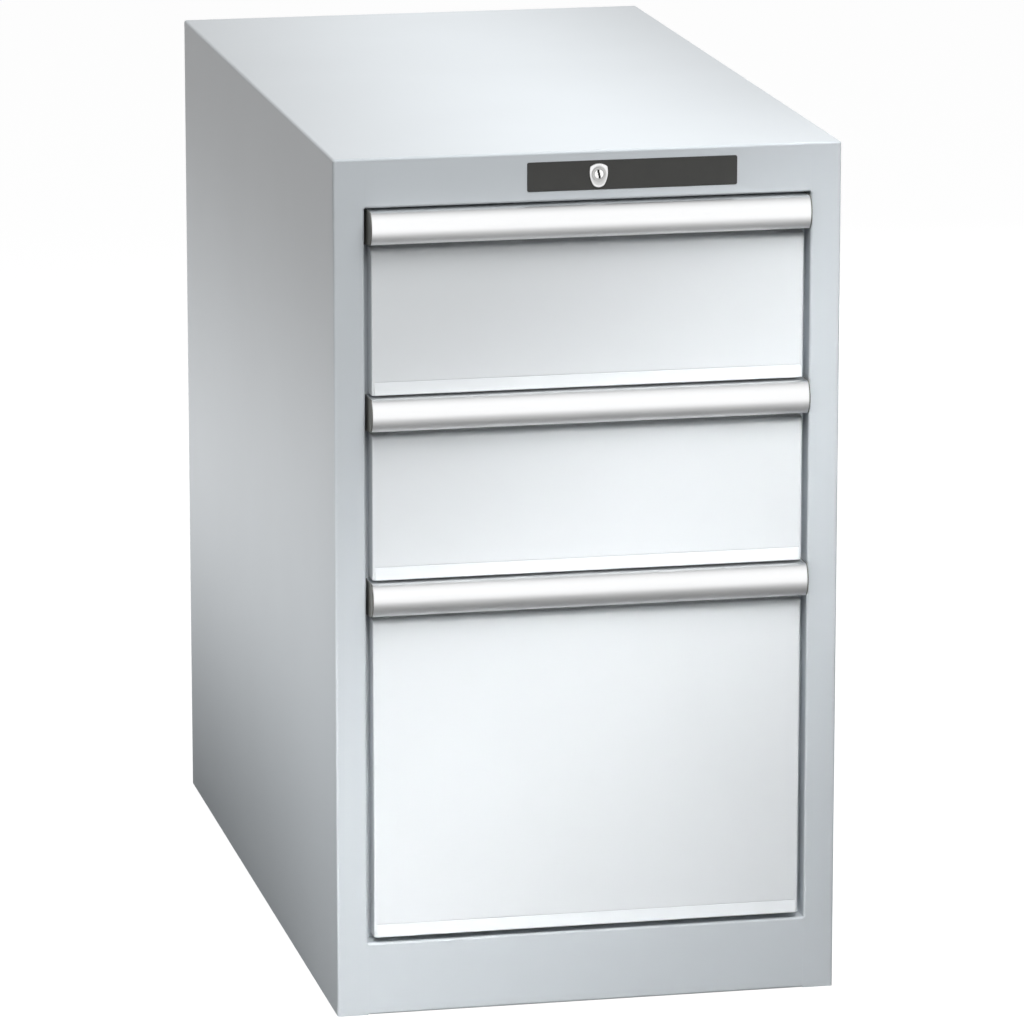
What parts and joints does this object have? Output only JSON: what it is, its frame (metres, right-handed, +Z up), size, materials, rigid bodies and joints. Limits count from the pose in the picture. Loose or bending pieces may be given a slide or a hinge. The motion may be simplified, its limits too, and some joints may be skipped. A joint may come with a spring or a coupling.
{
  "type": "modular drawer cabinet",
  "caption": "Steel pedestal cabinet with stacked full-extension drawers on roller slides, full-width hook handles and a central lock behind the top rail.",
  "frame": {"origin": "centre of the overall box on the floor, between the handles' fronts and the back", "axes": "+Z up, +X to the right seen from the front, drawers pull out along -Y"},
  "size_m": [0.411, 0.74, 0.7],
  "materials": {
    "housing_paint": "fine satin powder coat, light grey",
    "front_paint": "fine satin powder coat, light grey",
    "tray_paint": "fine satin powder coat, light grey",
    "handle_aluminium": "satin anodised extrusion",
    "cap_plastic": "fine texture, dark grey",
    "fascia_plastic": "fine texture, dark grey",
    "escutcheon_metal": "satin nickel plated, with a brighter rim",
    "lock_metal": "satin nickel plated",
    "slide_steel": "bright zinc plated",
    "roller_nylon": "turned nylon",
    "rivet_aluminium": "plain mill finish"
  },
  "bodies": {
    "housing": {"left_side_panel": "housing_paint", "right_side_panel": "housing_paint", "top_panel": "housing_paint", "bottom_panel": "housing_paint", "back_panel": "housing_paint", "top_front_rail": "housing_paint", "plinth_rail": "housing_paint", "rail_uprights": "slide_steel", "cabinet_rails": "slide_steel", "back_panel_rivets": "rivet_aluminium", "lock_fascia": "fascia_plastic", "lock_escutcheon": "escutcheon_metal", "lock_barrel": "lock_metal", "lock_guides": "slide_steel"},
    "lock_core_body": {"lock_core": "lock_metal"},
    "transfer_bar_body": {"lock_transfer_bar": "slide_steel"},
    "lock_bar_body": {"lock_bar": "slide_steel", "lock_bar_fingers": "slide_steel"},
    "upper_drawer": {"upper_drawer_tray": "tray_paint", "upper_drawer_front": "front_paint", "upper_drawer_handle": "handle_aluminium", "upper_drawer_handle_caps": "cap_plastic", "upper_drawer_rails": "slide_steel", "upper_drawer_lock_catch": "slide_steel"},
    "upper_left_carriage_body": {"upper_left_carriage": "slide_steel"},
    "upper_left_front_roller_body": {"upper_left_front_roller": "roller_nylon"},
    "upper_left_middle_roller_body": {"upper_left_middle_roller": "roller_nylon"},
    "upper_left_rear_roller_body": {"upper_left_rear_roller": "roller_nylon"},
    "upper_right_carriage_body": {"upper_right_carriage": "slide_steel"},
    "upper_right_front_roller_body": {"upper_right_front_roller": "roller_nylon"},
    "upper_right_middle_roller_body": {"upper_right_middle_roller": "roller_nylon"},
    "upper_right_rear_roller_body": {"upper_right_rear_roller": "roller_nylon"},
    "middle_drawer": {"middle_drawer_tray": "tray_paint", "middle_drawer_front": "front_paint", "middle_drawer_handle": "handle_aluminium", "middle_drawer_handle_caps": "cap_plastic", "middle_drawer_rails": "slide_steel", "middle_drawer_lock_catch": "slide_steel"},
    "middle_left_carriage_body": {"middle_left_carriage": "slide_steel"},
    "middle_left_front_roller_body": {"middle_left_front_roller": "roller_nylon"},
    "middle_left_middle_roller_body": {"middle_left_middle_roller": "roller_nylon"},
    "middle_left_rear_roller_body": {"middle_left_rear_roller": "roller_nylon"},
    "middle_right_carriage_body": {"middle_right_carriage": "slide_steel"},
    "middle_right_front_roller_body": {"middle_right_front_roller": "roller_nylon"},
    "middle_right_middle_roller_body": {"middle_right_middle_roller": "roller_nylon"},
    "middle_right_rear_roller_body": {"middle_right_rear_roller": "roller_nylon"},
    "lower_drawer": {"lower_drawer_tray": "tray_paint", "lower_drawer_front": "front_paint", "lower_drawer_handle": "handle_aluminium", "lower_drawer_handle_caps": "cap_plastic", "lower_drawer_rails": "slide_steel", "lower_drawer_lock_catch": "slide_steel"},
    "lower_left_carriage_body": {"lower_left_carriage": "slide_steel"},
    "lower_left_front_roller_body": {"lower_left_front_roller": "roller_nylon"},
    "lower_left_middle_roller_body": {"lower_left_middle_roller": "roller_nylon"},
    "lower_left_rear_roller_body": {"lower_left_rear_roller": "roller_nylon"},
    "lower_right_carriage_body": {"lower_right_carriage": "slide_steel"},
    "lower_right_front_roller_body": {"lower_right_front_roller": "roller_nylon"},
    "lower_right_middle_roller_body": {"lower_right_middle_roller": "roller_nylon"},
    "lower_right_rear_roller_body": {"lower_right_rear_roller": "roller_nylon"}
  },
  "joints": [
    {"name": "lock_bar_lift", "type": "slide", "parent": "housing", "child": "lock_bar_body", "axis": [0, 0, 1], "range_m": [0, 0.00942]},
    {"name": "lock_core_turn", "type": "hinge", "parent": "housing", "child": "lock_core_body", "pos_m": [0.0075, -0.355, 0.681], "axis": [0, 1, 0], "range_deg": [0, 90]},
    {"name": "transfer_bar_slide", "type": "slide", "parent": "housing", "child": "transfer_bar_body", "axis": [-1, 0, 0], "range_m": [0, 0.00945]},
    {"name": "upper_drawer_slide", "type": "slide", "parent": "housing", "child": "upper_drawer", "axis": [0, -1, 0], "range_m": [0, 0.63]},
    {"name": "upper_left_carriage_slide", "type": "slide", "parent": "housing", "child": "upper_left_carriage_body", "axis": [0, -1, 0], "range_m": [0, 0.3155]},
    {"name": "upper_left_front_roller_spin", "type": "hinge", "parent": "upper_left_carriage_body", "child": "upper_left_front_roller_body", "pos_m": [-0.1621, -0.313, 0.544], "axis": [1, 0, 0], "range_deg": [0, 1390]},
    {"name": "upper_left_middle_roller_spin", "type": "hinge", "parent": "upper_left_carriage_body", "child": "upper_left_middle_roller_body", "pos_m": [-0.1621, 0.002, 0.544], "axis": [1, 0, 0], "range_deg": [0, 1390]},
    {"name": "upper_left_rear_roller_spin", "type": "hinge", "parent": "upper_left_carriage_body", "child": "upper_left_rear_roller_body", "pos_m": [-0.1621, 0.317, 0.544], "axis": [1, 0, 0], "range_deg": [0, 1390]},
    {"name": "upper_right_carriage_slide", "type": "slide", "parent": "housing", "child": "upper_right_carriage_body", "axis": [0, -1, 0], "range_m": [0, 0.3155]},
    {"name": "upper_right_front_roller_spin", "type": "hinge", "parent": "upper_right_carriage_body", "child": "upper_right_front_roller_body", "pos_m": [0.1621, -0.313, 0.544], "axis": [1, 0, 0], "range_deg": [0, 1390]},
    {"name": "upper_right_middle_roller_spin", "type": "hinge", "parent": "upper_right_carriage_body", "child": "upper_right_middle_roller_body", "pos_m": [0.1621, 0.002, 0.544], "axis": [1, 0, 0], "range_deg": [0, 1390]},
    {"name": "upper_right_rear_roller_spin", "type": "hinge", "parent": "upper_right_carriage_body", "child": "upper_right_rear_roller_body", "pos_m": [0.1621, 0.317, 0.544], "axis": [1, 0, 0], "range_deg": [0, 1390]},
    {"name": "middle_drawer_slide", "type": "slide", "parent": "housing", "child": "middle_drawer", "axis": [0, -1, 0], "range_m": [0, 0.63]},
    {"name": "middle_left_carriage_slide", "type": "slide", "parent": "housing", "child": "middle_left_carriage_body", "axis": [0, -1, 0], "range_m": [0, 0.3155]},
    {"name": "middle_left_front_roller_spin", "type": "hinge", "parent": "middle_left_carriage_body", "child": "middle_left_front_roller_body", "pos_m": [-0.1621, -0.313, 0.394], "axis": [1, 0, 0], "range_deg": [0, 1390]},
    {"name": "middle_left_middle_roller_spin", "type": "hinge", "parent": "middle_left_carriage_body", "child": "middle_left_middle_roller_body", "pos_m": [-0.1621, 0.002, 0.394], "axis": [1, 0, 0], "range_deg": [0, 1390]},
    {"name": "middle_left_rear_roller_spin", "type": "hinge", "parent": "middle_left_carriage_body", "child": "middle_left_rear_roller_body", "pos_m": [-0.1621, 0.317, 0.394], "axis": [1, 0, 0], "range_deg": [0, 1390]},
    {"name": "middle_right_carriage_slide", "type": "slide", "parent": "housing", "child": "middle_right_carriage_body", "axis": [0, -1, 0], "range_m": [0, 0.3155]},
    {"name": "middle_right_front_roller_spin", "type": "hinge", "parent": "middle_right_carriage_body", "child": "middle_right_front_roller_body", "pos_m": [0.1621, -0.313, 0.394], "axis": [1, 0, 0], "range_deg": [0, 1390]},
    {"name": "middle_right_middle_roller_spin", "type": "hinge", "parent": "middle_right_carriage_body", "child": "middle_right_middle_roller_body", "pos_m": [0.1621, 0.002, 0.394], "axis": [1, 0, 0], "range_deg": [0, 1390]},
    {"name": "middle_right_rear_roller_spin", "type": "hinge", "parent": "middle_right_carriage_body", "child": "middle_right_rear_roller_body", "pos_m": [0.1621, 0.317, 0.394], "axis": [1, 0, 0], "range_deg": [0, 1390]},
    {"name": "lower_drawer_slide", "type": "slide", "parent": "housing", "child": "lower_drawer", "axis": [0, -1, 0], "range_m": [0, 0.63]},
    {"name": "lower_left_carriage_slide", "type": "slide", "parent": "housing", "child": "lower_left_carriage_body", "axis": [0, -1, 0], "range_m": [0, 0.3155]},
    {"name": "lower_left_front_roller_spin", "type": "hinge", "parent": "lower_left_carriage_body", "child": "lower_left_front_roller_body", "pos_m": [-0.1621, -0.313, 0.094], "axis": [1, 0, 0], "range_deg": [0, 1390]},
    {"name": "lower_left_middle_roller_spin", "type": "hinge", "parent": "lower_left_carriage_body", "child": "lower_left_middle_roller_body", "pos_m": [-0.1621, 0.002, 0.094], "axis": [1, 0, 0], "range_deg": [0, 1390]},
    {"name": "lower_left_rear_roller_spin", "type": "hinge", "parent": "lower_left_carriage_body", "child": "lower_left_rear_roller_body", "pos_m": [-0.1621, 0.317, 0.094], "axis": [1, 0, 0], "range_deg": [0, 1390]},
    {"name": "lower_right_carriage_slide", "type": "slide", "parent": "housing", "child": "lower_right_carriage_body", "axis": [0, -1, 0], "range_m": [0, 0.3155]},
    {"name": "lower_right_front_roller_spin", "type": "hinge", "parent": "lower_right_carriage_body", "child": "lower_right_front_roller_body", "pos_m": [0.1621, -0.313, 0.094], "axis": [1, 0, 0], "range_deg": [0, 1390]},
    {"name": "lower_right_middle_roller_spin", "type": "hinge", "parent": "lower_right_carriage_body", "child": "lower_right_middle_roller_body", "pos_m": [0.1621, 0.002, 0.094], "axis": [1, 0, 0], "range_deg": [0, 1390]},
    {"name": "lower_right_rear_roller_spin", "type": "hinge", "parent": "lower_right_carriage_body", "child": "lower_right_rear_roller_body", "pos_m": [0.1621, 0.317, 0.094], "axis": [1, 0, 0], "range_deg": [0, 1390]}
  ],
  "couplings": [
    {"joint": "lock_core_turn", "follows": "lock_bar_lift", "rad_per_m": 166.67},
    {"joint": "transfer_bar_slide", "follows": "lock_bar_lift", "ratio": 1},
    {"joint": "upper_left_carriage_slide", "follows": "upper_drawer_slide", "ratio": 0.5},
    {"joint": "upper_left_front_roller_spin", "follows": "upper_drawer_slide", "rad_per_m": 38.462},
    {"joint": "upper_left_middle_roller_spin", "follows": "upper_drawer_slide", "rad_per_m": 38.462},
    {"joint": "upper_left_rear_roller_spin", "follows": "upper_drawer_slide", "rad_per_m": 38.462},
    {"joint": "upper_right_carriage_slide", "follows": "upper_drawer_slide", "ratio": 0.5},
    {"joint": "upper_right_front_roller_spin", "follows": "upper_drawer_slide", "rad_per_m": 38.462},
    {"joint": "upper_right_middle_roller_spin", "follows": "upper_drawer_slide", "rad_per_m": 38.462},
    {"joint": "upper_right_rear_roller_spin", "follows": "upper_drawer_slide", "rad_per_m": 38.462},
    {"joint": "middle_left_carriage_slide", "follows": "middle_drawer_slide", "ratio": 0.5},
    {"joint": "middle_left_front_roller_spin", "follows": "middle_drawer_slide", "rad_per_m": 38.462},
    {"joint": "middle_left_middle_roller_spin", "follows": "middle_drawer_slide", "rad_per_m": 38.462},
    {"joint": "middle_left_rear_roller_spin", "follows": "middle_drawer_slide", "rad_per_m": 38.462},
    {"joint": "middle_right_carriage_slide", "follows": "middle_drawer_slide", "ratio": 0.5},
    {"joint": "middle_right_front_roller_spin", "follows": "middle_drawer_slide", "rad_per_m": 38.462},
    {"joint": "middle_right_middle_roller_spin", "follows": "middle_drawer_slide", "rad_per_m": 38.462},
    {"joint": "middle_right_rear_roller_spin", "follows": "middle_drawer_slide", "rad_per_m": 38.462},
    {"joint": "lower_left_carriage_slide", "follows": "lower_drawer_slide", "ratio": 0.5},
    {"joint": "lower_left_front_roller_spin", "follows": "lower_drawer_slide", "rad_per_m": 38.462},
    {"joint": "lower_left_middle_roller_spin", "follows": "lower_drawer_slide", "rad_per_m": 38.462},
    {"joint": "lower_left_rear_roller_spin", "follows": "lower_drawer_slide", "rad_per_m": 38.462},
    {"joint": "lower_right_carriage_slide", "follows": "lower_drawer_slide", "ratio": 0.5},
    {"joint": "lower_right_front_roller_spin", "follows": "lower_drawer_slide", "rad_per_m": 38.462},
    {"joint": "lower_right_middle_roller_spin", "follows": "lower_drawer_slide", "rad_per_m": 38.462},
    {"joint": "lower_right_rear_roller_spin", "follows": "lower_drawer_slide", "rad_per_m": 38.462}
  ]
}
